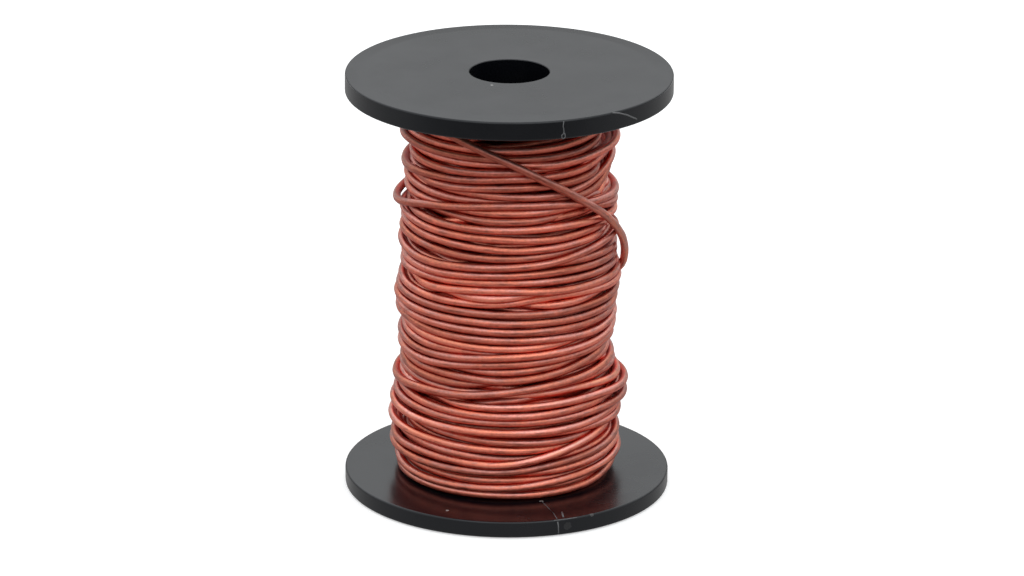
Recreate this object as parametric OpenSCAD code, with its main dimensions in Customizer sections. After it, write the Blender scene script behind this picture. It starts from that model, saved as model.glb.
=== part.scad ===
// Small reel of bare copper wire.
//
// A bobbin, moulded in one piece, carries one length of wire in layers that reach from flange to
// flange. The wire's last stretch leaves the winding under the upper flange, crosses the turns on
// a slant and hooks back in under one of them.
//
// The axis is Z. The reel stands on its lower flange, with the origin at the centre of that
// flange's outer face. -Y is the front. Lengths are in millimetres, angles in degrees.

/* [Bobbin] */
// Diameter of both flanges
flange_d = 50; // [46:1:70]
// Height over both flanges
bobbin_h = 66.4; // [60:0.1:80]
// Thickness of the lower flange
base_flange_t = 2.7; // [2:0.1:4.5]
// Thickness of the upper flange
top_flange_t = 3.1; // [2:0.1:4.5]
// Radius along both edges of each flange's rim
rim_round = 0.3; // [0.2:0.05:0.8]
// Width of the band round each outer face that slopes down to the rim
bevel_w = 2.8; // [1:0.1:4]
// How far that band drops by the rim
bevel_drop = 0.15; // [0.05:0.05:0.3]
// Diameter of the bore, which the reel turns on
bore_d = 12.2; // [8:0.1:14]
// Chamfer at both mouths of the bore
bore_chamfer = 0.1; // [0.1:0.1:0.6]
// Wall of the tube that the wire is wound on
core_wall = 1.9; // [1.2:0.1:2.4]
// Fillet between the tube and the flanges
root_fillet = 0.5; // [0.2:0.1:0.5]

/* [Wire] */
// Diameter of the wire
wire_d = 1.22; // [1.1:0.01:1.5]
// Mean diameter of the winding, over the wire
winding_d = 33.6; // [30:0.2:36]
// Share of the true unevenness that the winding's surface has
unevenness = 1; // [0:0.1:1]

/* [Hidden] */
$fn = 96;

plastic_black = [0.07, 0.075, 0.08];
copper = [0.72, 0.38, 0.27];

core_r = bore_d / 2 + core_wall;
flange_r = flange_d / 2;
wire_r = wire_d / 2;
space_h = bobbin_h - base_flange_t - top_flange_t;

// Depth of the groove between two turns, which the turns below them fill.
groove_depth = 0.7 * wire_r;
// Share of a wire's width that a layer leaves free, at least, between the flanges.
layer_slack = 0.2;
// Room between the tube and the first layer's last turns, which clears the fillets.
tube_gap = 0.02;

// How far the winding stands above or below its mean radius, by the share of the height between
// the flanges. The layers end short of the upper flange and pile up in the lower third.
surface_offsets = [
    [0.00, -0.2], [0.11, 0.7], [0.18, 1.0], [0.25, 0.8], [0.34, -0.4], [0.45, 0.1],
    [0.56, 0.0], [0.66, -0.2], [0.73, 0.0], [0.78, -0.8], [0.87, -0.3], [0.93, -0.6], [1.00, -0.9]
];

// The loose end's route: angle from the front, share of the height that a turn can take, and how
// far its centre stands off the surface of the winding. Positive angles are to the right.
loose_route = [
    [-118, 0.985, -0.9], [-104, 0.987, -0.3], [-90, 0.989, 0.3], [-75, 0.990, 0.6],
    [-60, 0.988, 0.6], [-45, 0.982, 0.6], [-28, 0.962, 0.6], [-10, 0.929, 0.6], [5, 0.896, 0.6],
    [20, 0.853, 0.6], [35, 0.808, 0.6], [50, 0.758, 0.6], [62, 0.713, 0.6], [74, 0.666, 0.8],
    [84, 0.621, 1.0], [92, 0.573, 1.1], [98, 0.533, 0.9], [102, 0.511, 0.4], [105, 0.494, -0.1],
    [107, 0.482, -0.6]
];
loose_sides = 8;
loose_steps = 2;

// Turns that slant across their layer or stand proud of it: share of the height at the turn's
// centre, tilt, the angle from the front that it rises towards, how far it stands proud all
// round, and how far it leans out to the right.
stray_turns = [
    [0.140, 9.4, 134, 0.4, 0.0], [0.256, 1.2, -124, 0.2, 0.8], [0.286, 5.6, 73, 0.3, 0.0],
    [0.645, 5.4, 136, 0.2, 0.0], [0.736, 7.6, 12, 0.5, -0.6]
];

// Radius of the winding's surface at height z above the lower flange.
function surface_r(z) = winding_d / 2 + unevenness * lookup(z / space_h, surface_offsets);

// The corner that a fillet of radius r fills, in the first quadrant.
module fillet_section(r) {
    difference() {
        square(r);
        translate([r, r]) circle(r);
    }
}

// Half section of a flange of thickness t: outer face along y = 0, inner face at y = t.
module flange_section(t) {
    body_r = flange_r - rim_round;
    difference() {
        polygon([
            [bore_d / 2, 0], [flange_r - bevel_w, 0], [body_r, bevel_drop],
            [body_r, t], [bore_d / 2, t]
        ]);
        polygon([
            [bore_d / 2, 0], [bore_d / 2 + bore_chamfer, 0], [bore_d / 2, bore_chamfer]
        ]);
    }
    for (y = [bevel_drop + rim_round, t - rim_round]) translate([body_r, y]) circle(rim_round);
    translate([body_r, bevel_drop + rim_round]) square([rim_round, t - bevel_drop - 2 * rim_round]);
    translate([core_r, t]) fillet_section(root_fillet);
}

module bobbin() {
    color(plastic_black) rotate_extrude() {
        flange_section(base_flange_t);
        translate([0, bobbin_h]) mirror([0, 1]) flange_section(top_flange_t);
        translate([bore_d / 2, base_flange_t]) square([core_wall, space_h]);
    }
}

// Half section of the winding: its body, a half turn showing at each outer groove, and each
// layer's last turn against the flanges.
module winding_section() {
    turns = floor(space_h / wire_d - layer_slack);
    pitch = (space_h - wire_d) / (turns - 1);
    turn_z = [for (i = [0 : turns - 1]) wire_r + i * pitch];
    turn_r = [for (z = turn_z) surface_r(z) - wire_r];

    first_r = core_r + wire_r + tube_gap;
    polygon(concat(
        [[core_r, space_h - root_fillet], [core_r, root_fillet]],
        [for (i = [0 : turns - 1]) [turn_r[i] + wire_r - groove_depth, turn_z[i]]]
    ));
    for (i = [0 : turns - 1]) translate([turn_r[i], turn_z[i]]) circle(wire_r);
    for (end = [0, turns - 1]) {
        layers = floor((turn_r[end] - first_r) / wire_d);
        layer_step = (turn_r[end] - first_r) / layers;
        for (k = [0 : layers - 1]) translate([first_r + k * layer_step, turn_z[end]]) circle(wire_r);
    }
}

// A turn that strays from its layer: a ring about an axis of its own.
module stray_turn(share, tilt, rise_to, proud, lean) {
    z = wire_r + share * (space_h - wire_d);
    translate([lean, 0, z]) rotate([0, -tilt, rise_to - 90])
        rotate_extrude() translate([surface_r(z) - wire_r + proud, 0]) circle(wire_r);
}

// A point of the route in space. The front is at -Y.
function route_point(p) =
    let (
        z = wire_r + p[1] * (space_h - wire_d),
        r = surface_r(z) + p[2],
        a = p[0] - 90
    )
    [r * cos(a), r * sin(a), base_flange_t + z];

// Point at share t between b and c on the smooth curve through a, b, c and d.
function on_curve(a, b, c, d, t) =
    0.5 * (2 * b + (c - a) * t + (2 * a - 5 * b + 4 * c - d) * t * t
        + (3 * b - a - 3 * c + d) * t * t * t);

// The smooth curve through all the points, with that many steps between each two.
function smooth_curve(points, steps) =
    let (last = len(points) - 1)
    concat(
        [for (i = [0 : last - 1], s = [0 : steps - 1])
            on_curve(points[max(i - 1, 0)], points[i], points[i + 1],
                points[min(i + 2, last)], s / steps)],
        [points[last]]
    );

function unit(v) = v / norm(v);

// A ring of that many points about point i of the line, square to the line. The ring is laid out
// from the direction away from the axis, so that the tube doesn't twist.
function ring(line, i, r, sides) =
    let (
        along = unit(line[min(i + 1, len(line) - 1)] - line[max(i - 1, 0)]),
        side = unit(cross([line[i][0], line[i][1], 0], along)),
        out = cross(along, side)
    )
    [for (k = [0 : sides - 1]) line[i] + r * (out * cos(360 * k / sides) + side * sin(360 * k / sides))];

// A round tube along a line of points.
module tube(line, r, sides) {
    rings = len(line);
    points = [for (i = [0 : rings - 1]) each ring(line, i, r, sides)];
    walls = [for (i = [0 : rings - 2], k = [0 : sides - 1])
        let (a = i * sides + k, b = i * sides + (k + 1) % sides)
        each [[a, b, a + sides], [b, b + sides, a + sides]]];
    start_cap = [for (k = [sides - 1 : -1 : 0]) k];
    end_cap = [for (k = [0 : sides - 1]) (rings - 1) * sides + k];
    polyhedron(points, concat(walls, [start_cap, end_cap]));
}

module copper_wire() {
    color(copper) {
        translate([0, 0, base_flange_t]) {
            rotate_extrude() winding_section();
            for (t = stray_turns) stray_turn(t[0], t[1], t[2], t[3], t[4]);
        }
        tube(smooth_curve([for (p = loose_route) route_point(p)], loose_steps), wire_r, loose_sides);
    }
}

bobbin();
copper_wire();
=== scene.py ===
"""Looks of a small reel of bare copper wire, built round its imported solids.

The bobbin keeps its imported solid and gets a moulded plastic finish, its parting line and its dust.
The wire is wound here turn by turn. The hidden turns slide into the grooves between the turns
under them, and bend over those they cross as far as stout wire does. The outer turns follow a
table of heights and keep clear of each other only. Lengths are in millimetres until a mesh is
made. Angles round the reel are counted from the front, -Y, and grow to the right.
"""

import logging
import math
from dataclasses import dataclass, field
from enum import Enum

import bpy
import numpy as np
from mathutils import Matrix, Vector


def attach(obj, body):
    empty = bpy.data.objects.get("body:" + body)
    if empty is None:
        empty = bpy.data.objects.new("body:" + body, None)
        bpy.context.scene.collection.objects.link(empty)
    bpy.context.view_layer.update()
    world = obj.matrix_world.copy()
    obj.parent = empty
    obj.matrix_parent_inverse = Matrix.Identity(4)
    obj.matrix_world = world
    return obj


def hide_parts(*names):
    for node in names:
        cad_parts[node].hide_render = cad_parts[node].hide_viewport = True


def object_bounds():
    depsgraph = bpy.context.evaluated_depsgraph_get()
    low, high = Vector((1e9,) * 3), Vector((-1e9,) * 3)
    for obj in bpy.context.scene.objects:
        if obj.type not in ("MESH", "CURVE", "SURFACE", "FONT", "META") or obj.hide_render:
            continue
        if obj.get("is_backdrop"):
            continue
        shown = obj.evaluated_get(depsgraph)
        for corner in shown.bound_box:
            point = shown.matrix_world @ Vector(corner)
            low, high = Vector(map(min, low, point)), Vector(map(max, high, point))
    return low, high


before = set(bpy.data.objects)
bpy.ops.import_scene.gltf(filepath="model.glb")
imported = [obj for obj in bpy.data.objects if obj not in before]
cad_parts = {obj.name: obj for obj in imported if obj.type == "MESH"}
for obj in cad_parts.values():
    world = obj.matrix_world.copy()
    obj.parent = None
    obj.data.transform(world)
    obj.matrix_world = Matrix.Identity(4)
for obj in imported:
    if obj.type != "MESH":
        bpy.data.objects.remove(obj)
cad_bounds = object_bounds()

LOG = logging.getLogger("reel")

MM = 0.001
BODY = "root"

Colour = tuple[float, float, float]
Curve = tuple[tuple[float, float], ...]


class Slot(Enum):
    """Material slots of the part."""

    PLASTIC = "bobbin_plastic"
    COPPER = "copper"


class Travel(Enum):
    """The way a layer is wound along the bobbin."""

    UP = 1
    DOWN = -1


def on_reel(angle: float, radius: float, height: float) -> tuple[float, float, float]:
    """Turns an angle from the front, a radius and a height into a point in space."""
    turn = math.radians(angle)
    return radius * math.sin(turn), -radius * math.cos(turn), height


# ---------------------------------------------------------------------------------------------
# Node helpers
# ---------------------------------------------------------------------------------------------


class NodeTree:
    """Adds and links nodes in one shader tree."""

    def __init__(self, tree: bpy.types.NodeTree) -> None:
        """Starts from an empty tree.

        Args:
            tree: The tree to fill. Nodes that it already has are removed.
        """
        self.tree = tree
        tree.nodes.clear()

    def add(self, kind: str, settings: dict | None = None, **inputs: object) -> bpy.types.Node:
        """Adds a node.

        Args:
            kind: The node's type, without the ShaderNode prefix.
            settings: Properties of the node itself.
            **inputs: Values or sockets for its inputs, by name with underscores for spaces.

        Returns:
            The new node.
        """
        node = self.tree.nodes.new("ShaderNode" + kind)
        for name, value in (settings or {}).items():
            setattr(node, name, value)
        for name, value in inputs.items():
            self.feed(node.inputs[name.replace("_", " ")], value)
        return node

    def feed(self, socket: bpy.types.NodeSocket, value: object) -> None:
        """Links a socket to an input, or sets its value."""
        if isinstance(value, bpy.types.NodeSocket):
            self.tree.links.new(value, socket)
        elif socket.type == "RGBA" and len(value) == 3:
            socket.default_value = (*value, 1.0)
        else:
            socket.default_value = value

    def maths(self, operation: str, *values: object) -> bpy.types.NodeSocket:
        """Adds a Math node.

        Args:
            operation: The node's operation, such as MULTIPLY.
            *values: Its inputs in order, as numbers or sockets.

        Returns:
            Its output socket.
        """
        node = self.add("Math", {"operation": operation})
        for socket, value in zip(node.inputs, values):
            self.feed(socket, value)
        return node.outputs[0]

    def spread(self, value: object, low: float, high: float, to_low: float = 0.0,
               to_high: float = 1.0, smooth: bool = False) -> bpy.types.NodeSocket:
        """Maps a range of values to another, clamped.

        Args:
            value: The socket to map.
            low: The value that becomes to_low.
            high: The value that becomes to_high.
            to_low: Result at low.
            to_high: Result at high.
            smooth: Whether the change eases in and out.

        Returns:
            The mapped value's socket.
        """
        kind = "SMOOTHSTEP" if smooth else "LINEAR"
        node = self.add("MapRange", {"interpolation_type": kind}, Value=value, From_Min=low,
                        From_Max=high, To_Min=to_low, To_Max=to_high)
        return node.outputs[0]

    def blend(self, share: object, first: object, second: object,
              kind: str = "MIX") -> bpy.types.NodeSocket:
        """Mixes two colours.

        Args:
            share: How much of the second colour there is.
            first: The colour at share 0.
            second: The colour at share 1.
            kind: The blend type.

        Returns:
            The mixed colour's socket.
        """
        node = self.add("Mix", {"data_type": "RGBA", "blend_type": kind})
        self.feed(node.inputs[0], share)
        self.feed(node.inputs[6], first)
        self.feed(node.inputs[7], second)
        return node.outputs[2]


def shader_group(name: str, inputs: dict[str, object], outputs: tuple[str, ...]) -> NodeTree:
    """Makes an empty shader node group with named values in and out.

    Args:
        name: The group's name.
        inputs: Default of each input by name: a number, or the word VECTOR.
        outputs: Names of the outputs, which are all plain values.

    Returns:
        The group's tree, with its Group Input and Group Output nodes in place.
    """
    tree = bpy.data.node_groups.new(name, "ShaderNodeTree")
    for label, default in inputs.items():
        if default == "VECTOR":
            tree.interface.new_socket(label, in_out="INPUT", socket_type="NodeSocketVector")
        else:
            made = tree.interface.new_socket(label, in_out="INPUT", socket_type="NodeSocketFloat")
            made.default_value = default
    for label in outputs:
        tree.interface.new_socket(label, in_out="OUTPUT", socket_type="NodeSocketFloat")
    group = NodeTree(tree)
    tree.nodes.new("NodeGroupInput")
    tree.nodes.new("NodeGroupOutput")
    return group


def patches_group() -> bpy.types.NodeTree:
    """Makes the group for uneven handling marks: soft patches broken up by finer ones.

    Returns:
        The group. Inputs: Vector, Size (patches for each unit), Softness. Output: Mask.
    """
    group = shader_group("Handling patches", {"Vector": "VECTOR", "Size": 1.0, "Softness": 0.25},
                         ("Mask",))
    ends = group.tree.nodes
    given, result = ends["Group Input"], ends["Group Output"]
    broad = group.add("TexNoise", Vector=given.outputs["Vector"], Scale=given.outputs["Size"],
                      Detail=3.0, Roughness=0.55)
    fine_scale = group.maths("MULTIPLY", given.outputs["Size"], 5.3)
    fine = group.add("TexNoise", Vector=given.outputs["Vector"], Scale=fine_scale, Detail=2.0)
    mixed = group.maths("ADD", group.maths("MULTIPLY", broad.outputs["Fac"], 0.75),
                        group.maths("MULTIPLY", fine.outputs["Fac"], 0.25))
    low = group.maths("SUBTRACT", 0.5, given.outputs["Softness"])
    high = group.maths("ADD", 0.5, given.outputs["Softness"])
    node = group.add("MapRange", {"interpolation_type": "SMOOTHSTEP"}, Value=mixed, From_Min=low,
                     From_Max=high)
    group.feed(result.inputs["Mask"], node.outputs[0])
    return group.tree


# ---------------------------------------------------------------------------------------------
# Finishes
# ---------------------------------------------------------------------------------------------


@dataclass(frozen=True)
class BareCopper:
    """Drawn copper wire, bare and a little dulled by handling, with painted shade and painted light
    on its turns.
    """

    pale: Colour = (0.86, 0.39, 0.33)
    deep: Colour = (0.83, 0.28, 0.178)
    # Painted shade: the darker, redder colour of the lower half of each turn.
    shaded: Colour = (0.87, 0.222, 0.15)
    # Painted shade: the colour of the sides of each turn that face its neighbours, down in the gaps
    # between turns.
    painted_gap_shade: Colour = (0.61, 0.042, 0.014)
    stain: Colour = (0.32, 0.10, 0.075)
    # Painted light: how bright the wire is low on the reel and near its top, brighter below and
    # darker above.
    painted_light_up_the_reel: tuple[float, float] = (1.08, 0.90)
    # Where the loose end starts, in wire diameters along the outer layer, and the painted light on
    # it:
    # how bright it is along its slant and how much more in the hook that ends it.
    loose_from: float = 4460.0
    slant_painted_light: float = 0.95
    hook_painted_light: float = 1.5
    # Stretches of the loose end over which it turns into its slant and into its hook.
    slant_run: tuple[float, float] = (0.0, 9.0)
    hook_run: tuple[float, float] = (35.0, 50.0)
    smooth: float = 0.32
    rough: float = 0.46
    drawn: float = 0.55
    draw_line_depth: float = 0.02 * MM

    def build(self, patches: bpy.types.NodeTree) -> bpy.types.Material:
        """Makes the material.

        Args:
            patches: The shared group for handling marks.

        Returns:
            The copper material. It reads the UV map named strand, whose first axis runs along
            the wire in wire diameters and whose second goes once round it.
        """
        material = bpy.data.materials.new("bare_copper")
        material.use_nodes = True
        nodes = NodeTree(material.node_tree)
        strand = nodes.add("UVMap", {"uv_map": "strand"}).outputs[0]
        place = nodes.add("TexCoord").outputs["Object"]

        def noise(along: float, across: float, detail: float) -> bpy.types.NodeSocket:
            at = nodes.add("Mapping", Vector=strand, Scale=(along, across, 1.0)).outputs[0]
            return nodes.add("TexNoise", Vector=at, Scale=1.0, Detail=detail,
                             Roughness=0.6).outputs["Fac"]

        lines, scuffs, grain = noise(0.05, 16.0, 3.0), noise(0.45, 7.0, 2.0), noise(2.5, 12.0, 1.0)
        lengths, turns = noise(0.09, 1.0, 3.0), noise(0.014, 0.4, 1.0)
        handled = nodes.add("Group", {"node_tree": patches}, Vector=place, Size=230.0,
                            Softness=0.22).outputs["Mask"]
        share = nodes.maths("ADD", nodes.maths("MULTIPLY", lengths, 0.6),
                            nodes.maths("MULTIPLY", scuffs, 0.4))
        along_it, round_it = nodes.add("SeparateXYZ", Vector=strand).outputs[:2]
        tone = nodes.blend(nodes.spread(share, 0.42, 0.58, smooth=True), self.pale, self.deep)
        slant, hook = (nodes.spread(along_it, self.loose_from + start, self.loose_from + end)
                       for start, end in (self.slant_run, self.hook_run))
        # Painted shade: the lower half of each turn takes the shaded colour, except in the hook of
        # the loose end.
        below = nodes.maths("MULTIPLY", nodes.maths("SUBTRACT", 1.0, hook),
                            nodes.spread(round_it, 0.40, 0.50, smooth=True))
        tone = nodes.blend(below, tone, self.shaded)
        # Painted shade: the sides of each turn that face the turns above and below it are darkened
        # to a deep red, except along the loose end.
        painted_gap_mask = nodes.maths("MAXIMUM", nodes.spread(round_it, 0.34, 0.24, smooth=True),
                              nodes.spread(round_it, 0.52, 0.66, smooth=True))
        painted_gap_mask = nodes.maths("MULTIPLY", nodes.maths("SUBTRACT", 1.0, slant), painted_gap_mask)
        tone = nodes.blend(painted_gap_mask, tone, self.painted_gap_shade)
        # Painted light: the wire is brighter low on the reel and darker near its top.
        height = nodes.add("SeparateXYZ", Vector=place).outputs["Z"]
        shade = nodes.maths("MULTIPLY", nodes.spread(height, 0.01, 0.06, *self.painted_light_up_the_reel),
                            nodes.maths("MULTIPLY",
                                        # Painted light on the loose end: a little darker along its
                                        # slant and much brighter in its hook.
                                        nodes.spread(slant, 0.0, 1.0, 1.0, self.slant_painted_light),
                                        nodes.spread(hook, 0.0, 1.0, 1.0, self.hook_painted_light)))
        for effect, low, high in ((lines, 0.82, 1.14), (scuffs, 0.61, 1.35), (grain, 0.88, 1.12),
                                  (turns, 0.60, 1.32)):
            shade = nodes.maths("MULTIPLY", shade, nodes.spread(effect, 0.3, 0.7, low, high))
        shade = nodes.add("CombineColor", Red=shade, Green=shade, Blue=shade).outputs[0]
        tone = nodes.blend(1.0, tone, shade, "MULTIPLY")
        stained = nodes.maths("MULTIPLY", handled, nodes.spread(scuffs, 0.45, 0.7))
        tone = nodes.blend(nodes.maths("MULTIPLY", stained, 0.4), tone, self.stain)

        rough = nodes.spread(scuffs, 0.3, 0.7, self.smooth, self.rough)
        relief = nodes.maths("ADD", lines, nodes.maths("MULTIPLY", scuffs, 0.5))
        bump = nodes.add("Bump", Strength=0.5, Distance=self.draw_line_depth,
                         Height=relief).outputs[0]
        tangent = nodes.add("Tangent", {"direction_type": "UV_MAP", "uv_map": "strand"}).outputs[0]
        shader = nodes.add("BsdfPrincipled", Base_Color=tone, Metallic=1.0, Roughness=rough,
                           Normal=bump, Anisotropic=self.drawn, Anisotropic_Rotation=0.25,
                           Tangent=tangent)
        output = nodes.add("OutputMaterial")
        nodes.feed(output.inputs["Surface"], shader.outputs[0])
        return material


@dataclass(frozen=True)
class Speck:
    """A fleck of pale dust or a nick on the plastic."""

    # Angle from the front, radius and height.
    spot: tuple[float, float, float]
    radius: float
    strength: float = 1.0


@dataclass(frozen=True)
class MouldedPlastic:
    """Black polystyrene with a moulded shine, lightly handled."""

    name: str = "moulded_plastic"
    black: Colour = (0.0022, 0.0027, 0.0044)
    dusty: Colour = (0.009, 0.009, 0.0098)
    pale: Colour = (0.32, 0.31, 0.30)
    sheen: Colour = (0.94, 0.965, 1.0)
    smooth: float = 0.19
    rough: float = 0.30
    specks: tuple[Speck, ...] = ()

    def build(self, patches: bpy.types.NodeTree) -> bpy.types.Material:
        """Makes the material.

        Args:
            patches: The shared group for handling marks.

        Returns:
            The plastic material.
        """
        material = bpy.data.materials.new(self.name)
        material.use_nodes = True
        nodes = NodeTree(material.node_tree)
        place = nodes.add("TexCoord").outputs["Object"]

        handled = nodes.add("Group", {"node_tree": patches}, Vector=place, Size=75.0,
                            Softness=0.3).outputs["Mask"]
        grain = nodes.add("TexNoise", Vector=place, Scale=2600.0, Detail=2.0)
        sink = nodes.add("TexNoise", Vector=place, Scale=110.0, Detail=1.0)
        tone = nodes.blend(nodes.maths("MULTIPLY", handled, 0.35), self.black, self.dusty)
        tone = nodes.blend(self.speck_mask(nodes, place), tone, self.pale)

        rough = nodes.maths("ADD", nodes.maths("MULTIPLY", handled, self.rough - self.smooth),
                            self.smooth)
        low = nodes.add("Bump", Strength=0.35, Distance=0.05 * MM, Height=sink.outputs["Fac"])
        fine = nodes.add("Bump", Strength=0.25, Distance=0.01 * MM, Height=grain.outputs["Fac"],
                         Normal=low.outputs[0])
        shader = nodes.add("BsdfPrincipled", Base_Color=tone, Roughness=rough, IOR=1.5,
                           Specular_Tint=self.sheen, Normal=fine.outputs[0])
        output = nodes.add("OutputMaterial")
        nodes.feed(output.inputs["Surface"], shader.outputs[0])
        return material

    def speck_mask(self, nodes: NodeTree, place: bpy.types.NodeSocket) -> bpy.types.NodeSocket:
        """Adds a mask of the specks.

        Args:
            nodes: The material's tree.
            place: The surface's coordinates, in metres.

        Returns:
            Each speck's strength on it and 0 elsewhere.
        """
        ragged = nodes.add("TexNoise", Vector=place, Scale=4000.0, Detail=1.0).outputs["Fac"]
        total: object = 0.0
        for speck in self.specks:
            spot = tuple(MM * value for value in on_reel(*speck.spot))
            away = nodes.add("VectorMath", {"operation": "DISTANCE"})
            nodes.feed(away.inputs[0], place)
            nodes.feed(away.inputs[1], spot)
            edge = nodes.maths("ADD", nodes.maths("MULTIPLY", ragged, speck.radius * MM),
                               0.5 * speck.radius * MM)
            inside = nodes.maths("LESS_THAN", away.outputs["Value"], edge)
            total = nodes.maths("MAXIMUM", total, nodes.maths("MULTIPLY", inside, speck.strength))
        return total


# ---------------------------------------------------------------------------------------------
# Meshes
# ---------------------------------------------------------------------------------------------


@dataclass
class Tube:
    """A round tube along a line that goes round the reel."""

    name: str
    line: np.ndarray
    radius: float
    sides: int
    rings_per_strip: int

    def rings(self) -> np.ndarray:
        """Works out the tube's rings.

        Returns:
            Points by ring and side, in millimetres. Side 0 faces the reel's axis.
        """
        along = np.gradient(self.line, axis=0)
        along /= np.linalg.norm(along, axis=1)[:, None]
        outward = self.line * (1.0, 1.0, 0.0)
        across = np.cross(outward, along)
        across /= np.linalg.norm(across, axis=1)[:, None]
        outward = np.cross(along, across)
        turn = 2 * math.pi * np.arange(self.sides) / self.sides
        spokes = (-np.cos(turn)[None, :, None] * outward[:, None]
                  + np.sin(turn)[None, :, None] * across[:, None])
        full = self.radius / math.cos(math.pi / self.sides) ** 0.5
        return self.line[:, None] + full * spokes

    def build(self, material: bpy.types.Material) -> bpy.types.Object:
        """Makes the tube's object, with both ends closed.

        Args:
            material: The finish it gets.

        Returns:
            The object, in metres.
        """
        rings = self.rings()
        count, sides = rings.shape[:2]
        ring = np.arange(count - 1)[:, None] * sides
        side = np.arange(sides)[None, :]
        after = (side + 1) % sides
        walls = np.stack([ring + side, ring + after, ring + after + sides, ring + side + sides],
                         axis=-1).reshape(-1, 4)
        caps = np.concatenate([np.arange(sides)[::-1], (count - 1) * sides + np.arange(sides)])
        corners = np.concatenate([walls.ravel(), caps])
        starts = np.concatenate([np.arange(len(walls)) * 4, len(walls) * 4 + np.array([0, sides])])

        mesh = bpy.data.meshes.new(self.name)
        mesh.vertices.add(count * sides)
        mesh.vertices.foreach_set("co", (rings * MM).astype(np.float32).ravel())
        mesh.loops.add(len(corners))
        mesh.loops.foreach_set("vertex_index", corners.astype(np.int32))
        mesh.polygons.add(len(starts))
        mesh.polygons.foreach_set("loop_start", starts.astype(np.int32))
        mesh.update(calc_edges=True)
        mesh.polygons.foreach_set("use_smooth", np.ones(len(starts), dtype=bool))
        self.map_strand(mesh, count, sides)
        mesh.materials.append(material)
        mesh.validate()
        made = bpy.data.objects.new(self.name, mesh)
        bpy.context.scene.collection.objects.link(made)
        return made

    def map_strand(self, mesh: bpy.types.Mesh, count: int, sides: int) -> None:
        """Adds the tube's two UV maps.

        The map named strand runs along the wire in diameters and once round it. The map named
        OFBake lays the wall out in level strips, one above another, for textures.

        Args:
            mesh: The tube's mesh, whose walls come before its caps.
            count: How many rings it has.
            sides: How many sides each ring has.
        """
        step = np.linalg.norm(np.diff(self.line, axis=0), axis=1)
        run = np.concatenate([[0.0], np.cumsum(step)]) / (2 * self.radius)
        ring = np.repeat(np.arange(count - 1), sides)
        side = np.tile(np.arange(sides), count - 1)
        corner_ring = np.stack([ring, ring, ring + 1, ring + 1], axis=-1)
        corner_side = np.stack([side, side + 1, side + 1, side], axis=-1)
        strand = np.stack([run[corner_ring], corner_side / sides], axis=-1).reshape(-1, 2)

        strips = math.ceil((count - 1) / self.rings_per_strip)
        strip = ring // self.rings_per_strip
        across = (corner_ring - strip[:, None] * self.rings_per_strip) / self.rings_per_strip
        margin = 0.08
        level = (strip[:, None] + margin + (1 - 2 * margin) * corner_side / sides) / (strips + 1)
        bake = np.stack([0.002 + 0.996 * across, level], axis=-1).reshape(-1, 2)

        turn = 2 * math.pi * np.arange(sides) / sides
        disc = np.stack([np.cos(turn), np.sin(turn)], axis=-1)
        cap_size = 0.4 / (strips + 1)
        cap_row = (strips + 0.5) / (strips + 1)
        caps = [disc[::-1] * cap_size + (0.1, cap_row), disc * cap_size + (0.3, cap_row)]
        for label, wall, ends in (("strand", strand, [disc * 0, disc * 0]),
                                  ("OFBake", bake, caps)):
            layer = mesh.uv_layers.new(name=label)
            data = np.concatenate([wall, *ends]).astype(np.float32)
            layer.data.foreach_set("uv", data.ravel())


def turned(name: str, outline: list[tuple[float, float]], segments: int,
           material: bpy.types.Material) -> bpy.types.Object:
    """Makes a closed solid turned about the reel's axis.

    Args:
        name: The object's name.
        outline: Radius and height of each corner of its section, in millimetres, in order.
        segments: How many flats go round.
        material: The finish it gets.

    Returns:
        The object, in metres.
    """
    angles = 2 * math.pi * np.arange(segments) / segments
    section = np.array(outline)
    points = np.stack([section[None, :, 0] * np.cos(angles)[:, None],
                       section[None, :, 0] * np.sin(angles)[:, None],
                       np.broadcast_to(section[None, :, 1], (segments, len(section)))], axis=-1)
    corners = len(section)
    here = np.arange(segments)[:, None] * corners
    beside = np.roll(here, -1, axis=0)
    first = np.arange(corners)[None, :]
    after = np.roll(first, -1, axis=1)
    faces = np.stack([here + first, beside + first, beside + after, here + after],
                     axis=-1).reshape(-1, 4).tolist()
    mesh = bpy.data.meshes.new(name)
    mesh.from_pydata((points.reshape(-1, 3) * MM).tolist(), [], faces)
    mesh.update()
    mesh.materials.append(material)
    made = bpy.data.objects.new(name, mesh)
    bpy.context.scene.collection.objects.link(made)
    return made


# ---------------------------------------------------------------------------------------------
# The wire
# ---------------------------------------------------------------------------------------------


@dataclass(frozen=True)
class WindingSpace:
    """The room for wire between the flanges, and the steps it is worked out in."""

    low: float = 2.7
    high: float = 63.3
    mean_radius: float = 16.8
    steps: int = 120
    grain: float = 0.04
    # Share of the height, and how far the finished surface stands off its mean radius.
    unevenness: Curve = (
        (0.00, -0.2), (0.11, 0.7), (0.18, 1.0), (0.25, 0.8), (0.34, -0.4), (0.45, 0.1),
        (0.56, 0.0), (0.66, -0.2), (0.73, 0.0), (0.78, -0.8), (0.87, -0.3), (0.93, -0.6),
        (1.00, -0.9),
    )

    def surface(self, height: np.ndarray) -> np.ndarray:
        """Radius that the finished winding has at each height."""
        share = (height - self.low) / (self.high - self.low)
        at, offset = zip(*self.unevenness)
        return self.mean_radius + np.interp(share, at, offset)

    def arc_step(self) -> float:
        """Length of wire in one step, at the mean radius."""
        return 2 * math.pi * self.mean_radius / self.steps


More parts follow.
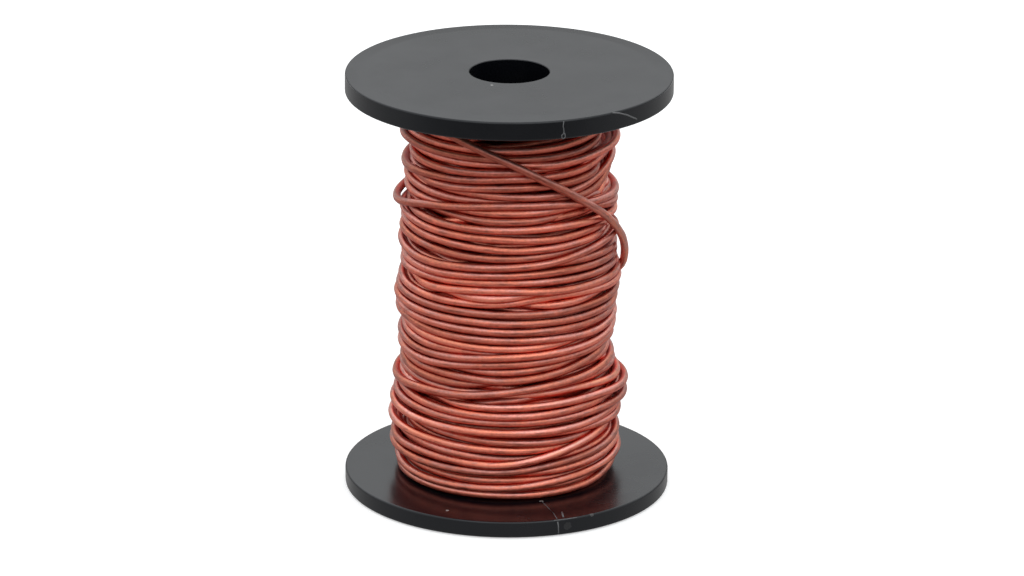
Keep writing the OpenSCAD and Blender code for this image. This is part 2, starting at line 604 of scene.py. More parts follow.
class Bed:
    """What the next turn lies on: the least radius its centre can take, by angle and height."""

    def __init__(self, space: WindingSpace, wire_radius: float, under: float) -> None:
        """Starts with a plain core.

        Args:
            space: The room for wire.
            wire_radius: The wire's radius.
            under: How far the core is below the finished surface.
        """
        self.space = space
        self.wire_radius = wire_radius
        self.heights = np.arange(space.low - 1, space.high + 1, space.grain)
        core = space.surface(self.heights) - under + wire_radius
        self.depth = np.tile(core, (space.steps, 1))

    def at(self, step: np.ndarray, height: np.ndarray) -> np.ndarray:
        """Least radius of a wire's centre at those steps round and heights."""
        place = (height - self.heights[0]) / self.space.grain
        below = np.clip(place.astype(int), 0, len(self.heights) - 2)
        share = place - below
        return self.depth[step, below] * (1 - share) + self.depth[step, below + 1] * share

    def valley(self, step: np.ndarray, height: np.ndarray, reach: float,
               grip: float) -> np.ndarray:
        """Finds the groove that a wire would slide into.

        Args:
            step: Steps round the reel.
            height: Where the wire is laid down at each.
            reach: How far it can slide either way.
            grip: What a slide costs, for each square millimetre.

        Returns:
            The height of the groove at each step.
        """
        slides = np.linspace(-reach, reach, 31)
        tries = self.clamp(height[:, None] + slides)
        steps = np.repeat(step, len(slides))
        cost = self.at(steps, tries.ravel()).reshape(tries.shape) + grip * slides**2
        return tries[np.arange(len(height)), cost.argmin(axis=1)]

    def clamp(self, height: np.ndarray) -> np.ndarray:
        """Keeps a wire's centre off both flanges."""
        return np.clip(height, self.space.low + self.wire_radius,
                       self.space.high - self.wire_radius)

    def lay(self, step: np.ndarray, height: np.ndarray, radius: np.ndarray) -> None:
        """Adds a stretch of wire to the bed.

        Args:
            step: Steps round the reel, each once.
            height: The wire's height at each.
            radius: The radius of its centre at each.
        """
        width = 2 * self.wire_radius
        slope = np.gradient(height) / self.space.arc_step()
        reach = int(1.4 * width / self.space.grain)
        nearby = np.arange(-reach, reach)
        middle = np.round((height - self.heights[0]) / self.space.grain).astype(int)
        index = np.clip(middle[:, None] + nearby, 0, len(self.heights) - 1)
        away = (self.heights[index] - height[:, None]) / np.sqrt(1 + slope[:, None] ** 2)
        rise = radius[:, None] + np.sqrt(np.maximum(width**2 - away**2, 0))
        rise = np.where(np.abs(away) < width, rise, 0)
        rows = np.broadcast_to(step[:, None], index.shape)
        np.maximum.at(self.depth, (rows, index), rise)


def eased(values: np.ndarray, sigma: float) -> np.ndarray:
    """Smooths a run of values with a bell curve of that width, in steps."""
    reach = int(3 * sigma)
    weights = np.exp(-0.5 * (np.arange(-reach, reach + 1) / sigma) ** 2)
    return np.convolve(np.pad(values, reach, mode="edge"), weights / weights.sum(), mode="valid")


def through(points: Curve, at: np.ndarray) -> np.ndarray:
    """Follows a smooth curve through a few points.

    Args:
        points: Position and value of each point, in order of position.
        at: Positions to read.

    Returns:
        The value at each position.
    """
    x, y = (np.array(part, dtype=float) for part in zip(*points))
    slope = np.gradient(y, x)
    index = np.clip(np.searchsorted(x, at) - 1, 0, len(x) - 2)
    span = x[index + 1] - x[index]
    t = np.clip((at - x[index]) / span, 0, 1)
    return ((2 * t**3 - 3 * t**2 + 1) * y[index] + (t**3 - 2 * t**2 + t) * span * slope[index]
            + (3 * t**2 - 2 * t**3) * y[index + 1] + (t**3 - t**2) * span * slope[index + 1])


@dataclass(frozen=True)
class Layer:
    """One pass of the wire from flange to flange, as the hand that feeds it wanders."""

    name: str
    travel: Travel
    turns: int
    wander: float
    seed: int
    sides: int
    # How far it stops short of the upper flange.
    short: float = 5.4

    def plan(self, space: WindingSpace, wire_radius: float) -> np.ndarray:
        """Works out where the wire is laid down.

        Args:
            space: The room for wire.
            wire_radius: The wire's radius.

        Returns:
            Its height at each step. The layer starts and ends at the back.
        """
        count = self.turns * space.steps
        low, high = space.low + wire_radius, space.high - wire_radius - self.short
        ends = (low, high) if self.travel is Travel.UP else (high, low)
        return np.linspace(*ends, count) + self.drift(count, space.steps)

    def drift(self, count: int, steps: int) -> np.ndarray:
        """A slow drift to either side.

        Args:
            count: How many steps to give.
            steps: Steps in a turn.

        Returns:
            The drift at each step.
        """
        rng = np.random.default_rng(self.seed)
        turn = np.arange(count) / steps
        total = np.zeros(count)
        waves = 10
        for _ in range(waves):
            rate = math.exp(rng.uniform(math.log(0.15), math.log(1.6)))
            size = rng.uniform(0.5, 1.0)
            total += size * np.sin(2 * math.pi * (rate * turn + rng.uniform()))
        return self.wander * total / math.sqrt(waves)


@dataclass(frozen=True)
class OuterLayer:
    """The last pass, whose turns lie as they do on the real reel, and the loose end after it."""

    name: str = "wire_outer_layer"
    sides: int = 12
    back_wander: float = 0.3
    seed: int = 3
    rounds: int = 240
    reach: int = 6
    crossing: tuple[float, float] = (0.5, 0.85)
    bending: float = 0.1
    height_pull: float = 0.04
    radius_pull: float = 0.04
    yielding: float = 0.65
    # Angles from the front at which the turns are given.
    angles: tuple[float, ...] = (-77, -50.5, -25, 0, 25, 50.5, 77.5)
    # Height on the bobbin where the turns' scale starts, the height of one of its steps, and how
    # far a turn that is level on it falls from the front to the side.
    scale_start: float = -0.325
    scale_step: float = 1.009
    side_fall: float = 0.3
    # Where each turn lies on that scale at those angles, in the order in which they are wound.
    turns: tuple[tuple[float, ...], ...] = (
        (4.90, 4.90, 4.90, 4.95, 5.10, 5.30, 5.80),
        (4.20, 4.00, 4.00, 4.00, 4.00, 4.30, 4.90),
        (6.45, 6.45, 6.40, 6.30, 6.25, 6.30, 6.40),
        (5.20, 5.10, 5.10, 5.35, 5.90, 6.40, 6.90),
        (7.20, 7.30, 7.45, 7.50, 7.70, 8.00, 8.40),
        (7.95, 7.90, 7.85, 7.95, 8.65, 9.20, 9.80),
        (11.3, 10.95, 10.4, 9.75, 10.2, 10.65, 11.1),
        (12.0, 11.85, 11.65, 11.45, 11.3, 11.4, 11.7),
        (13.4, 13.2, 13.0, 12.75, 12.4, 12.2, 12.4),
        (9.10, 9.40, 9.15, 9.20, 10.6, 12.1, 13.1),
        (14.0, 13.95, 13.9, 13.85, 13.7, 13.4, 13.5),
        (14.6, 14.55, 14.5, 14.4, 14.35, 14.4, 14.8),
        (16.2, 16.05, 15.95, 15.9, 15.95, 16.05, 15.9),
        (17.8, 17.3, 16.95, 16.85, 16.95, 17.3, 17.5),
        (18.9, 18.5, 18.25, 18.3, 18.4, 18.4, 18.0),
        (19.2, 19.2, 19.4, 19.7, 20.0, 19.95, 19.2),
        (20.6, 20.2, 20.1, 20.4, 20.9, 21.0, 21.0),
        (18.8, 19.5, 19.9, 20.8, 21.5, 21.8, 22.0),
        (21.6, 21.2, 21.3, 22.0, 22.6, 23.1, 23.5),
        (24.0, 23.9, 23.6, 23.55, 24.0, 24.6, 25.0),
        (22.8, 22.4, 22.35, 22.35, 23.0, 23.9, 24.6),
        (23.8, 23.8, 24.3, 24.85, 25.05, 25.3, 25.4),
        (27.4, 26.6, 26.35, 26.2, 26.4, 26.5, 26.6),
        (25.5, 25.15, 25.6, 26.15, 26.4, 26.6, 26.9),
        (28.4, 27.8, 27.5, 27.4, 27.55, 28.0, 28.4),
        (29.3, 28.9, 28.8, 28.75, 28.6, 28.35, 28.6),
        (30.5, 30.35, 30.25, 30.1, 30.05, 30.0, 30.0),
        (31.8, 31.65, 31.6, 31.5, 31.4, 31.35, 31.3),
        (33.0, 33.0, 32.95, 32.9, 32.85, 32.9, 32.9),
        (34.3, 34.3, 34.4, 34.3, 34.05, 34.2, 34.3),
        (34.5, 34.35, 34.45, 34.75, 35.15, 35.1, 34.6),
        (36.0, 35.8, 35.4, 35.6, 36.1, 36.2, 36.0),
        (36.7, 35.95, 36.3, 36.6, 36.4, 36.05, 35.9),
        (37.1, 37.05, 37.45, 37.75, 37.8, 37.55, 37.3),
        (38.2, 38.3, 38.65, 39.0, 39.2, 39.0, 38.8),
        (40.0, 39.9, 40.0, 40.3, 40.4, 40.4, 40.0),
        (42.3, 42.0, 41.7, 41.65, 41.85, 42.1, 42.4),
        (40.2, 39.8, 40.1, 40.45, 40.95, 41.8, 42.4),
        (43.9, 43.6, 43.3, 43.0, 42.95, 43.3, 43.6),
        (45.5, 45.0, 44.85, 44.7, 44.35, 44.5, 44.4),
        (47.0, 46.5, 46.25, 46.2, 46.3, 46.0, 45.2),
        (48.0, 47.8, 47.6, 47.55, 47.7, 47.9, 47.0),
        (48.8, 48.7, 48.6, 48.7, 48.65, 48.6, 48.4),
        (50.8, 50.4, 50.35, 50.4, 50.4, 50.45, 52.2),
        (47.0, 48.4, 49.35, 49.9, 49.55, 49.05, 48.35),
        (51.9, 51.5, 51.4, 51.3, 51.1, 51.8, 53.6),
        (52.4, 52.15, 52.2, 52.7, 52.75, 53.2, 54.8),
        (52.7, 53.1, 53.5, 54.2, 54.25, 54.6, 55.3),
        (55.6, 54.9, 54.9, 55.15, 55.4, 55.65, 56.0),
        (56.5, 56.35, 56.3, 56.25, 56.1, 56.3, 56.6),
        (57.2, 57.2, 57.2, 57.1, 57.15, 57.55, 59.2),
        (58.5, 58.35, 58.4, 58.4, 58.6, 59.1, 59.8),
        (60.2, 59.85, 59.7, 60.9, 61.3, 60.6, 60.6),
        (61.7, 61.7, 61.7, 61.7, 61.7, 61.7, 61.7),
    )
    # Angle from the front, share of the height that a turn can take, and how far the centre
    # stands off the surface, for each point of the loose end.
    loose_end: tuple[tuple[float, float, float], ...] = (
        (-118, 0.985, -0.9), (-104, 0.987, -0.3), (-90, 0.989, 0.3), (-75, 0.990, 0.6),
        (-60, 0.988, 0.6), (-45, 0.982, 0.6), (-28, 0.962, 0.6), (-10, 0.929, 0.6),
        (5, 0.896, 0.6), (20, 0.853, 0.6), (35, 0.808, 0.6), (50, 0.758, 0.6),
        (62, 0.713, 0.6), (74, 0.666, 0.8), (84, 0.621, 1.0), (92, 0.573, 1.1),
        (98, 0.533, 0.9), (102, 0.511, 0.4), (105, 0.494, -0.1), (107, 0.482, -0.6),
    )
    # Turn, angle from the front, how far it stands proud there, and over how wide an angle.
    bulges: tuple[tuple[int, float, float, float], ...] = (
        (8, -90, 0.5, 30), (12, 88, 0.9, 26), (14, 85, 1.0, 28), (44, -95, 0.9, 28),
        (44, 88, 0.5, 22), (49, 85, 0.6, 25), (17, -75, 0.4, 20), (36, -85, 0.4, 20),
        (53, 2, -2.6, 32), (52, 6, -2.2, 26),
    )
    # Height on the bobbin, and how far the winding stands out there on the left and on the right.
    out_of_round: tuple[tuple[float, float, float], ...] = (
        (2.7, 0.0, 0.0), (9.0, 0.6, 0.0), (10.5, 0.5, -0.4), (11.7, 0.3, -1.1), (13.0, 0.0, -0.8),
        (14.3, -0.6, -0.1), (16.2, 0.0, 0.0), (17.8, -0.7, 0.0), (19.5, -0.5, 0.0),
        (20.5, -0.4, -0.4), (22.0, -0.3, -0.3), (23.4, 0.0, -0.8), (25.0, 0.4, -0.7),
        (26.2, 0.3, -0.4), (28.0, 0.0, -0.4), (29.5, 0.0, -0.3), (31.0, 0.7, 0.0),
        (32.2, 0.5, 0.3), (33.5, 0.0, 0.3), (34.5, -0.6, 0.1), (35.8, -0.5, 0.0),
        (37.0, -1.0, 0.0), (38.5, 0.0, 0.0), (41.0, -0.3, 0.0), (43.1, -0.3, 0.0),
        (44.8, -0.1, -0.8), (46.0, 0.0, -0.3), (47.0, 0.1, 0.0), (48.5, -1.2, -0.4),
        (49.6, -1.0, -0.4), (50.8, 0.0, 0.0), (52.3, -0.5, -0.5), (53.6, -0.6, 0.0),
        (55.8, -0.1, -0.5), (57.0, -0.4, -0.6), (63.3, -0.4, -0.6),
    )

    def plan(self, space: WindingSpace, wire_radius: float) -> tuple[np.ndarray, ...]:
        """Works out where the wire is meant to lie.

        Args:
            space: The room for wire.
            wire_radius: The wire's radius.

        Returns:
            The height and the radius of its centre at each step, and whether it is loose there.
            The layer starts at the back.
        """
        low, high = space.low + wire_radius, space.high - wire_radius
        rng = np.random.default_rng(self.seed)
        fall = self.side_fall * (1 - np.cos(np.radians(self.angles)))
        turns = self.scale_start + self.scale_step * np.array(self.turns) - fall
        wound = len(turns)
        points = [(0.0, turns[0, 0])]
        for number, heights in enumerate(turns):
            points += [(number + 0.5 + angle / 360, height)
                       for angle, height in zip(self.angles, heights)]
            after = turns[min(number + 1, wound - 1), 0]
            middle = (heights[-1] + after) / 2 + rng.normal(0, self.back_wander)
            points.append((number + 1, middle))
        loose = [(wound + 0.5 + angle / 360, low + share * (high - low))
                 for angle, share, _ in self.loose_end]
        at = np.arange(round(loose[-1][0] * space.steps) + 1) / space.steps
        height = np.clip(through(tuple(points + loose), at), low, high)
        is_loose = at >= loose[0][0]
        stand = through(tuple((place, stand) for (place, _), (_, _, stand)
                              in zip(loose, self.loose_end)), at)
        radius = space.surface(height) + np.where(is_loose, stand, -wire_radius)
        for turn, angle, lift, spread in self.bulges:
            away = (at - turn - 0.5) * 360 - angle
            radius += lift * np.exp(-((away / spread) ** 2))
        to_right = -np.sin(2 * math.pi * at)
        levels, left, right = np.transpose(self.out_of_round)
        uneven = np.where(to_right < 0, np.interp(height, levels, left),
                          np.interp(height, levels, right))
        radius += np.where(is_loose, 0.0, uneven * to_right**2)
        return height, radius, is_loose

    def settle(self, space: WindingSpace, wire_radius: float) -> tuple[np.ndarray, np.ndarray]:
        """Lets the planned turns push each other out of the way.

        Neighbours that nearly touch move apart. Where two turns cross, the later one goes over
        the earlier one, and both bend no more sharply than the wire allows.

        Args:
            space: The room for wire.
            wire_radius: The wire's radius.

        Returns:
            The height and the radius of the wire's centre at each step.
        """
        wanted_height, wanted_radius, is_loose = self.plan(space, wire_radius)
        height, radius = wanted_height.copy(), wanted_radius.copy()
        width = 2 * wire_radius
        free = np.where(is_loose, 0.0, 1.0)
        low, high = space.low + wire_radius, space.high - wire_radius
        for _ in range(self.rounds):
            for turns in range(1, self.reach + 1):
                gap = turns * space.steps
                if gap >= len(height):
                    break
                first, later = slice(0, -gap), slice(gap, None)
                across = height[later] - height[first]
                out = radius[later] - radius[first]
                planned = wanted_height[later] - wanted_height[first]
                near, far = self.crossing
                crosses = np.clip((far - np.abs(planned) / width) / (far - near), 0, 1)
                apart = np.hypot(across, out) + 1e-9
                beside = (1 - crosses) * np.maximum(width - apart, 0) / apart
                over = np.sqrt(np.maximum(width**2 - across**2, 0)) - out
                over = crosses * np.where(np.abs(across) < width, np.maximum(over, 0), 0)
                height[later] += 0.25 * free[later] * beside * across
                height[first] -= 0.25 * free[first] * beside * across
                up = 0.25 * beside * out
                radius[later] += free[later] * (up + (1 - self.yielding) * over)
                radius[first] -= free[first] * (up + self.yielding * over)
            height += free * self.height_pull * (wanted_height - height)
            radius += free * self.radius_pull * (wanted_radius - radius)
            for values in (height, radius):
                for _ in range(8):
                    padded = np.pad(values, 2, mode="edge")
                    bend = (padded[:-4] - 4 * padded[1:-3] + 6 * padded[2:-2]
                            - 4 * padded[3:-1] + padded[4:])
                    values -= free * self.bending * bend
            height = np.clip(height, low, high)
        return height, radius


@dataclass
class CopperWire:
    """The whole length of wire: the layers that show, over a plain core of the ones that don't."""

    diameter: float = 1.22
    layers: tuple[Layer, ...] = (
        Layer("wire_under_layer", Travel.UP, 46, 0.3, 1, 8),
        Layer("wire_middle_layer", Travel.DOWN, 45, 0.4, 2, 10),
    )
    outer: OuterLayer = OuterLayer()
    # Depth of the plain core under the finished surface, and how far the hidden turns' centres
    # stay under the outer ones'.
    hidden_depth: float = 4.3
    least_cover: float = 0.95
    slide_reach: float = 0.55
    slide_grip: float = 0.35
    stiffness: float = 8.0
    space: WindingSpace = field(default_factory=WindingSpace)

    @property
    def radius(self) -> float:
        """The wire's radius."""
        return self.diameter / 2

    def build(self, material: bpy.types.Material) -> list[bpy.types.Object]:
        """Winds the wire and makes its pieces.

        Args:
            material: The wire's finish.

        Returns:
            The pieces, from the core outwards.
        """
        bed = Bed(self.space, self.radius, self.hidden_depth)
        plans = [layer.plan(self.space, self.radius) for layer in self.layers]
        heights, radii = self.wind(np.concatenate(plans), bed)
        radii = self.held_under(heights, radii)
        pieces = [self.core(material)]
        start = 0
        for layer, plan in zip(self.layers, plans):
            end = start + len(plan)
            pieces.append(self.tube(layer, heights[start:end], radii[start:end], material))
            start = end
        heights, radii = self.outer.settle(self.space, self.radius)
        pieces.append(self.tube(self.outer, heights, radii, material))
        return pieces

    def held_under(self, heights: np.ndarray, radii: np.ndarray) -> np.ndarray:
        """Presses crossings of the lower layers down, so that they stay under the outer one."""
        most = self.space.surface(heights) - self.radius - self.least_cover
        softness = 0.15
        return most - softness * np.logaddexp(0, (most - radii) / softness)

    def tube(self, layer: Layer | OuterLayer, heights: np.ndarray, radii: np.ndarray,
             material: bpy.types.Material) -> bpy.types.Object:
        """Makes one layer's piece.

        Args:
            layer: The layer.
            heights: The height of its wire at each step.
            radii: The radius of its wire's centre at each step.
            material: The wire's finish.

        Returns:
            The piece.
        """
        line = self.line(heights, radii)
        LOG.info("%s: %.1f m of wire", layer.name,
                 np.linalg.norm(np.diff(line, axis=0), axis=1).sum() * MM)
        return Tube(layer.name, line, self.radius, layer.sides, self.space.steps).build(material)

    def core(self, material: bpy.types.Material) -> bpy.types.Object:
        """Makes the plain solid inside the layers that show."""
        heights = np.linspace(self.space.low, self.space.high, 40)
        outer = self.space.surface(heights) - self.hidden_depth
        inner = 8.0
        outline = [(inner, self.space.high), (inner, self.space.low)]
        outline += [(float(r), float(z)) for r, z in zip(outer, heights)]
        return turned("wire_core", outline, 72, material)

    def line(self, heights: np.ndarray, radii: np.ndarray) -> np.ndarray:
        """Turns heights and radii at each step into points in space, from the back on."""
        angle = 2 * math.pi * np.arange(len(heights)) / self.space.steps + math.pi
        return np.stack([radii * np.sin(angle), -radii * np.cos(angle), heights], axis=-1)

    def wind(self, plan: np.ndarray, bed: Bed) -> tuple[np.ndarray, np.ndarray]:
        """Lays the wire half a turn at a time.

        Args:
            plan: Height at which it is laid down at each step.
            bed: What it is laid on, which grows as it goes.

        Returns:
            Its height and the radius of its centre at each step.
        """
        count, steps = len(plan), self.space.steps
        heights, radii = plan.copy(), np.zeros(count)
        for start in range(0, count, steps // 2):
            end = min(start + steps, count)
            fixed_end = min(start + steps // 2, count)
            step = np.arange(start, end) % steps
            heights[start:end] = self.slid(plan, heights, start, end, bed)
            floor = bed.at(step, heights[start:end])
            radii[start:end] = self.sprung(floor, radii[max(0, start - 3):start])
            laid = slice(start, fixed_end)
            bed.lay(np.arange(start, fixed_end) % steps, heights[laid], radii[laid])
        return heights, radii

    def slid(self, plan: np.ndarray, heights: np.ndarray, start: int, end: int,
             bed: Bed) -> np.ndarray:
        """Slides a stretch of wire sideways into the grooves under it.

        Args:
            plan: Where the wire is meant to lie.
            heights: Where it lies so far.
            start: First step of the stretch.
            end: One past its last step.
            bed: What it lies on.

        Returns:
            The stretch's heights.
        """
        step = np.arange(start, end) % self.space.steps
        along = np.arange(end - start)
        carried = heights[start - 1] - plan[start - 1] if start else 0.0
        here = plan[start:end] + carried * np.exp(-along / 40.0)
        held = np.minimum(1.0, along / 6.0) if start else 1.0
        for _ in range(4):
            pull = bed.valley(step, here, self.slide_reach, self.slide_grip) - here
            quiet = np.zeros(12)
            here = here + held * eased(np.concatenate([quiet, pull]), 5.0)[len(quiet):]
        before = heights[max(0, start - 12):start]
        here = eased(np.concatenate([before, here]), 1.5)[len(before):]
        return bed.clamp(here)

    def sprung(self, floor: np.ndarray, before: np.ndarray) -> np.ndarray:
        """Bends a stretch of wire over what it crosses.

        The wire is a stiff string that is pulled inwards and can't go below the floor.

        Args:
            floor: Least radius at each step.
            before: The last radii of the stretch that is laid already.

        Returns:
            The radius at each step.
        """
        fixed = before if len(before) else floor[:2]
        least = np.concatenate([fixed, floor])
        shape = least.copy()
        pull = self.space.arc_step() ** 2 / self.space.mean_radius
        stiff = self.stiffness
        for _ in range(200):
            near = np.pad(shape, 2, mode="edge")
            beside = near[1:-3] + near[3:-1]
            beyond = near[:-4] + near[4:]
            balance = (stiff * (4 * beside - beyond) + beside - pull) / (6 * stiff + 2)
            shape = np.maximum(least, (shape + balance) / 2)
            shape[:len(fixed)] = fixed
        return shape[len(fixed):]


# ---------------------------------------------------------------------------------------------
# The bobbin
# ---------------------------------------------------------------------------------------------


@dataclass(frozen=True)
class Burr:
    """A thin raised line of scuffed plastic, such as a parting line or the lip of a scratch."""

    name: str
    # Angle from the front, radius and height of each point.
    route: tuple[tuple[float, float, float], ...]
    half_width: float = 0.08

    def build(self, material: bpy.types.Material) -> bpy.types.Object:
        """Makes the burr, half sunk in the bobbin's surface.

        Args:
            material: The finish it gets.

        Returns:
            The object.
        """
        line = np.array([on_reel(*point) for point in self.route])
        return Tube(self.name, line, self.half_width, 6, 8).build(material)


@dataclass
class Bobbin:
    """The moulded bobbin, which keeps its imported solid, and the marks on it."""

    node: str = "bobbin"
    burrs: tuple[Burr, ...] = (
        Burr("parting_line_upper", (
            (18.9, 25, 66.1), (18.7, 25, 65.3), (19.0, 25, 64.6), (18.9, 25, 64.2),
            (18.2, 25, 63.9), (18.3, 25, 63.5), (18.9, 25, 63.4), (19.5, 25, 63.6),
            (19.4, 25, 64.0), (19.1, 25, 64.3))),
        Burr("parting_line_lower", ((18.2, 25, 2.4), (18.5, 25, 1.4), (18.5, 25, 0.5)), 0.1),
        Burr("parting_line_face", ((18.4, 16.9, 2.7), (18.7, 18.0, 2.7), (18.8, 20.2, 2.7),
                                   (18.8, 22.5, 2.7), (18.3, 24.6, 2.7)), 0.05),
        Burr("nick_lower", ((22.3, 22.3, 2.7), (21.0, 24.2, 2.7)), 0.13),
        Burr("scratch_upper", ((38.0, 24.9, 66.2), (41.0, 25, 65.9), (44.5, 25, 65.3),
                               (47.5, 25, 64.6), (49.7, 25, 64.1)), 0.12),
        Burr("scratch_lower_edge", ((16.8, 24.92, 2.62), (21.0, 24.92, 2.62),
                                    (25.5, 24.92, 2.62)), 0.07),
    )
    specks: tuple[Speck, ...] = (
        Speck((-20.3, 7.55, 66.4), 0.22), Speck((-23.9, 22.1, 2.7), 0.24),
        Speck((18.4, 16.9, 2.7), 0.28), Speck((31.5, 24.9, 2.6), 0.3, 0.2),
        Speck((21.9, 25.0, 1.5), 0.6, 0.06),
    )

    def build(self, patches: bpy.types.NodeTree) -> list[bpy.types.Object]:
        """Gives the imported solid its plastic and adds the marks.

        Args:
            patches: The shared group for handling marks.

        Returns:
            The marks' objects.
        """
        plastic = MouldedPlastic(specks=self.specks).build(patches)
        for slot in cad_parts[self.node].material_slots:
            slot.material = plastic
        scuffed = MouldedPlastic("scuffed_plastic", (0.13, 0.13, 0.135), (0.2, 0.2, 0.2),
                                 smooth=0.45, rough=0.6).build(patches)
        return [burr.build(scuffed) for burr in self.burrs]


# ---------------------------------------------------------------------------------------------
# The studio
# ---------------------------------------------------------------------------------------------


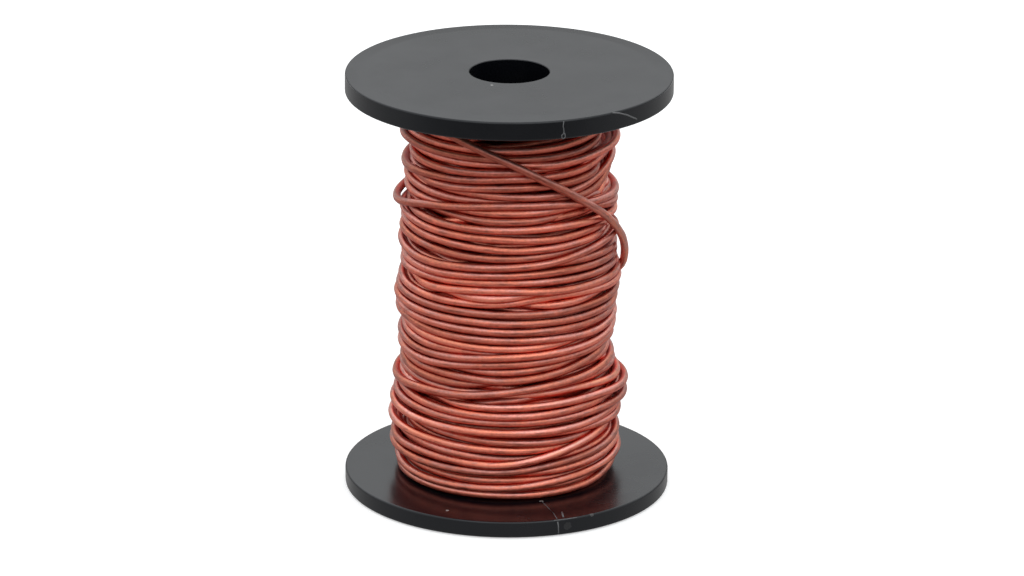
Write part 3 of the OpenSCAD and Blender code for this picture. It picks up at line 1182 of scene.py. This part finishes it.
@dataclass
class Studio:
    """Floor, backdrop, lamps and camera."""

    elevation: float = 19.3
    distance: float = 0.95
    lens: float = 217.56
    roll: float = 0.43
    aim_right: float = 0.631 * MM
    aim_up: float = -1.578 * MM
    floor_whiteness: float = 0.45
    # Brightness of the bench in front, far and near, where that changes, and where it gives way
    # to the floor.
    bench: tuple[float, float] = (0.18, 0.42)
    bench_reach: tuple[float, float] = (-0.22, -0.06)
    bench_edge: tuple[float, float] = (0.2, 0.5)
    room_in_front: float = 0.78
    # The backdrop's brightness, the height at which it has it, and how fast it grows upwards.
    # Heights in the surroundings are sines of the angle above the horizon.
    backdrop: float = 1.0
    backdrop_height: float = 0.326
    backdrop_rise: float = 3.8
    # How bright the stripe is against the rest, and over which heights it sets in and ends.
    backdrop_stripe: float = 0.78
    stripe_start: tuple[float, float] = (0.32, 0.34)
    stripe_end: tuple[float, float] = (0.40, 0.45)
    left_to_right: tuple[float, float] = (0.97, 0.87)
    ceiling: float = 1.1
    room_tint: Colour = (0.97, 0.99, 1.0)

    def build(self) -> None:
        """Makes the floor, the surroundings, the lamps and the camera."""
        self.floor()
        self.surroundings()
        self.lamps()
        self.camera()

    def camera(self) -> None:
        """Places the camera in front of the reel, looking a little down on it."""
        low, high = (np.array(corner) for corner in cad_bounds)
        centre = Vector((low + high) / 2)
        tilt = math.radians(self.elevation)
        away = Vector((0, -math.cos(tilt), math.sin(tilt)))
        data = bpy.data.cameras.new("camera")
        data.sensor_width = 36.0
        data.lens = self.lens
        data.clip_start, data.clip_end = 0.01, 20.0
        camera = bpy.data.objects.new("camera", data)
        bpy.context.scene.collection.objects.link(camera)
        right = Vector((1, 0, 0))
        up = away.cross(right)
        aim = centre + self.aim_right * right + self.aim_up * up
        place = centre + self.distance * away
        look = (aim - place).to_track_quat("-Z", "Y").to_matrix().to_4x4()
        spin = Matrix.Rotation(math.radians(self.roll), 4, "Z")
        camera.matrix_world = Matrix.Translation(place) @ look @ spin
        bpy.context.scene.camera = camera

    def floor(self) -> None:
        """Makes the pale floor, which keeps the reel's shadow.

        The metal mirrors it as it is round and behind the reel. Out of sight in front it gives
        way to a darker bench there.
        """
        size = 3.0
        mesh = bpy.data.meshes.new("floor")
        corners = [(-size, -size, 0), (size, -size, 0), (size, size, 0), (-size, size, 0)]
        mesh.from_pydata(corners, [], [(0, 1, 2, 3)])
        floor = bpy.data.objects.new("floor", mesh)
        floor.location.z = cad_bounds[0][2]
        bpy.context.scene.collection.objects.link(floor)
        material = bpy.data.materials.new("floor")
        material.use_nodes = True
        nodes = NodeTree(material.node_tree)
        shaded = nodes.add("BsdfDiffuse", Color=(0.8, 0.8, 0.8))
        white = nodes.add("Emission", Color=(1.0, 1.0, 1.0), Strength=self.floor_whiteness)
        pale = nodes.add("AddShader")
        nodes.feed(pale.inputs[0], shaded.outputs[0])
        nodes.feed(pale.inputs[1], white.outputs[0])
        place = nodes.add("SeparateXYZ", Vector=nodes.add("TexCoord").outputs["Object"])
        bench = nodes.add("Emission", Color=(1.0, 1.0, 1.0), Strength=nodes.spread(
            place.outputs["Y"], *self.bench_reach, *self.bench, smooth=True))
        near = nodes.spread(place.outputs["Y"], *self.bench_edge, smooth=True)
        path = nodes.add("LightPath")
        mirrored = nodes.maths("MAXIMUM", path.outputs["Is Glossy Ray"],
                               path.outputs["Is Transmission Ray"])
        is_pale = nodes.maths("MAXIMUM", path.outputs["Is Camera Ray"],
                              nodes.maths("MULTIPLY", mirrored, near))
        mixed = nodes.add("MixShader", Fac=is_pale)
        nodes.feed(mixed.inputs[1], bench.outputs[0])
        nodes.feed(mixed.inputs[2], pale.outputs[0])
        output = nodes.add("OutputMaterial")
        nodes.feed(output.inputs["Surface"], mixed.outputs[0])
        mesh.materials.append(material)
        floor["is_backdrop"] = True

    def surroundings(self) -> None:
        """Makes a pale backdrop that brightens upwards to a duller stripe, and a darker room.

        The camera's own stand is a dark upright strip in it.
        """
        world = bpy.data.worlds.new("surroundings")
        bpy.context.scene.world = world
        world.use_nodes = True
        nodes = NodeTree(world.node_tree)
        direction = nodes.add("TexCoord").outputs["Generated"]
        parts = nodes.add("SeparateXYZ", Vector=direction)
        rise = nodes.maths("MULTIPLY_ADD", parts.outputs["Z"], self.backdrop_rise,
                           self.backdrop - self.backdrop_height * self.backdrop_rise)
        wall = nodes.maths("MINIMUM", nodes.maths("MAXIMUM", rise, 0.3), 1.4)
        stripe = nodes.maths(
            "MAXIMUM",
            nodes.spread(parts.outputs["Z"], *self.stripe_start, 1.0, self.backdrop_stripe),
            nodes.spread(parts.outputs["Z"], *self.stripe_end))
        wall = nodes.maths("MULTIPLY", wall, stripe)
        share = nodes.spread(parts.outputs["Y"], -0.2, 0.6, smooth=True)
        behind = nodes.maths("ADD", nodes.maths("MULTIPLY", share, wall), nodes.maths(
            "MULTIPLY", nodes.maths("SUBTRACT", 1.0, share), self.room_in_front))
        above = nodes.spread(parts.outputs["Z"], -0.1, 0.7, 0.0, self.ceiling, smooth=True)
        room = nodes.maths("MULTIPLY", nodes.maths("MAXIMUM", behind, above),
                           nodes.spread(parts.outputs["X"], -1.0, 1.0, *self.left_to_right))
        aside = nodes.maths("ABSOLUTE", nodes.maths("ADD", parts.outputs["X"], 0.05))
        stand = nodes.maths("MAXIMUM", nodes.spread(aside, 0.05, 0.1, 0.5, 1.0),
                            nodes.spread(parts.outputs["Y"], -0.5, -0.4))
        room = nodes.maths("MULTIPLY", room, stand)
        background = nodes.add("Background", Color=self.room_tint, Strength=room)
        output = nodes.add("OutputWorld")
        nodes.feed(output.inputs["Surface"], background.outputs[0])

    def lamps(self) -> None:
        """Hangs a large soft lamp over the reel."""
        self.lamp("top_lamp", (0.12, -0.5, 0.8), 1.1, 2.0)

    def lamp(self, name: str, place: tuple[float, float, float], size: float,
             power: float) -> None:
        """Hangs one square lamp that faces the reel.

        Args:
            name: The lamp's name.
            place: Where it hangs, in metres.
            size: Length of its sides.
            power: Its power in watts.
        """
        data = bpy.data.lights.new(name, "AREA")
        data.shape = "SQUARE"
        data.size = size
        data.energy = power
        lamp = bpy.data.objects.new(name, data)
        lamp.location = place
        centre = Vector((0, 0, 0.03))
        lamp.rotation_euler = (centre - Vector(place)).to_track_quat("-Z", "Y").to_euler()
        bpy.context.scene.collection.objects.link(lamp)


def record_sizes() -> None:
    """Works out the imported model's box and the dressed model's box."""
    boxes = {name: [list(corner) for corner in box]
             for name, box in (("cad", cad_bounds), ("visual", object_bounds()))}


def main() -> None:
    """Builds the reel and its studio."""
    logging.basicConfig(level=logging.INFO, format="%(name)s: %(message)s")
    bpy.context.scene.view_settings.view_transform = "Standard"
    Studio().build()
    patches = patches_group()
    marks = Bobbin().build(patches)
    turns = CopperWire().build(BareCopper().build(patches))
    for pieces, slot in ((marks, Slot.PLASTIC), (turns, Slot.COPPER)):
        for piece in pieces:
            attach(piece, BODY)
            LOG.info("built %s", piece.name)
    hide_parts("copper_wire")
    record_sizes()


if __name__ == "__main__":
    main()
